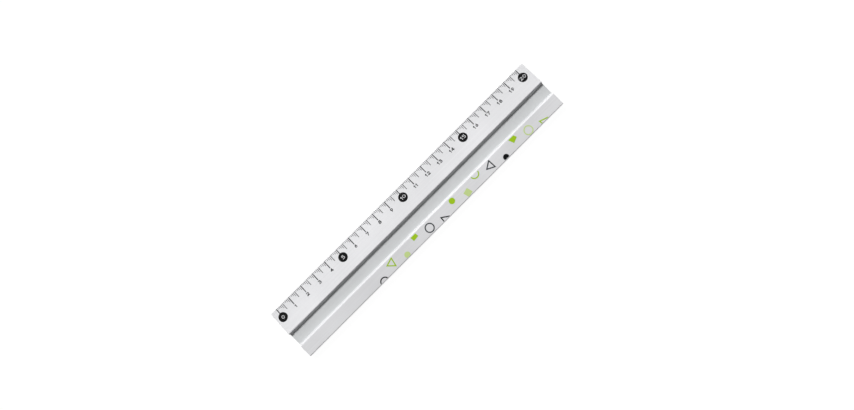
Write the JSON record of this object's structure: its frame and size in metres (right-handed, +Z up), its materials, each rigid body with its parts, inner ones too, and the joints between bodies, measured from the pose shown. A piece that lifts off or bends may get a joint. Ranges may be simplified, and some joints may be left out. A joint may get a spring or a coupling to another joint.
{
  "type": "aluminium ruler",
  "caption": "Flat extruded aluminium ruler with a sloping printed scale face, a finger channel and a raised printed rail.",
  "frame": {"origin": "middle of the flat underside", "axes": "+X along the scale from 0 to 20 cm, +Y from the raised rail to the thin scale edge, +Z up"},
  "size_m": [0.21, 0.0342, 0.0049],
  "materials": {
    "anodised_aluminium": "satin anodised",
    "black_print": "screen print",
    "lime_print": "screen print",
    "pale_green_print": "screen print",
    "grey_print": "screen print"
  },
  "bodies": {
    "root": {"ruler_body": "anodised_aluminium", "scale_marks": "black_print", "numbers": "black_print", "number_discs": "black_print", "rail_print_black": "black_print", "rail_print_lime": "lime_print", "rail_print_pale_green": "pale_green_print", "rail_print_grey": "grey_print"}
  },
  "joints": []
}
